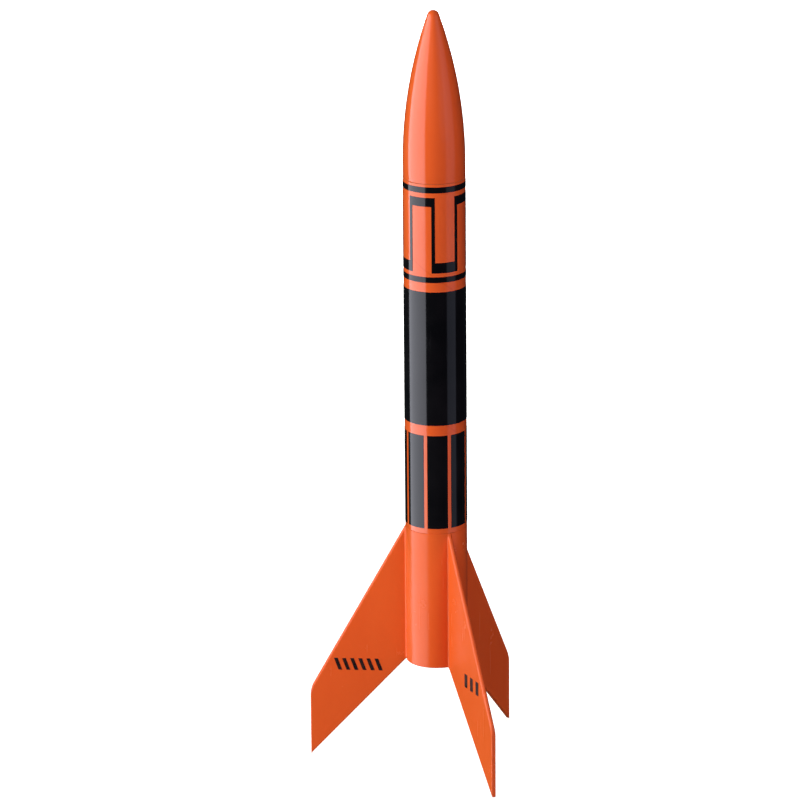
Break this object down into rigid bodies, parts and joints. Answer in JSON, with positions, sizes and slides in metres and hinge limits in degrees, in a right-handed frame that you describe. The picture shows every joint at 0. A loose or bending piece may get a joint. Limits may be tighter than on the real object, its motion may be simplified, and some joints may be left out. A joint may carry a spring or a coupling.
{
  "type": "model rocket",
  "caption": "Small flying model rocket with an ogive nose cone that pulls off, a banded body tube, three swept fins, a launch lug and a hooked motor mount.",
  "frame": {"origin": "on the rocket's axis at the aft rim of the motor tube, which is also the aft rim of the fin unit's sleeve", "axes": "+Z along the rocket's axis towards the nose; +Y towards the launch lug and the motor hook; one fin along -Y"},
  "size_m": [0.0904, 0.0783, 0.311],
  "materials": {
    "moulded_shell": "glossy orange-red moulded polystyrene",
    "painted_tube": "glossy orange-red coat on spiral-wound paper",
    "black_film": "glossy black film",
    "kraft_paper": "bare kraft paper tube",
    "grey_card": "bare pressed card",
    "spring_steel": "bright rolled spring steel",
    "elastic": "braided white elastic",
    "canopy_film": "thin pleated plastic film",
    "thread": "white carpet thread"
  },
  "bodies": {
    "airframe": {"body_tube": "painted_tube", "forward_ring_decal": "black_film", "meander_decal": "black_film", "aft_ring_decal": "black_film", "wide_band_decal": "black_film", "striped_band_decal": "black_film", "fin_unit": "moulded_shell", "fin_emblem_decal": "black_film", "fin_tally_decal": "black_film", "launch_lug": "painted_tube", "motor_tube": "kraft_paper", "thrust_ring": "grey_card", "forward_centring_ring": "grey_card", "aft_centring_ring": "grey_card", "motor_hook": "spring_steel", "hook_keeper_ring": "black_film", "shock_cord_mount": "grey_card", "shock_cord_lead": "elastic"},
    "nose": {"nose_cone": "moulded_shell", "nose_base_plug": "moulded_shell", "shock_cord_coil": "elastic", "shock_cord_end": "elastic"},
    "recovery": {"parachute": "canopy_film", "line_tape_discs": "grey_card", "shroud_line_wrap": "thread", "shroud_line_tails": "thread"},
    "hook_tongue": {"hook_tongue": "spring_steel"}
  },
  "joints": [
    {"name": "nose_slide", "type": "slide", "parent": "airframe", "child": "nose", "axis": [0, 0, 1], "range_m": [0, 0.13], "deforming": ["shock_cord_lead"]},
    {"name": "recovery_slide", "type": "slide", "parent": "airframe", "child": "recovery", "axis": [0, 0, 1], "range_m": [0, 0.13]},
    {"name": "hook_flex", "type": "hinge", "parent": "airframe", "child": "hook_tongue", "pos_m": [0, 0.00962, 0.028], "axis": [1, 0, 0], "range_deg": [0, 3.4], "stiffness_Nm_per_rad": 0.5}
  ],
  "couplings": [
    {"joint": "recovery_slide", "follows": "nose_slide", "ratio": 1}
  ]
}
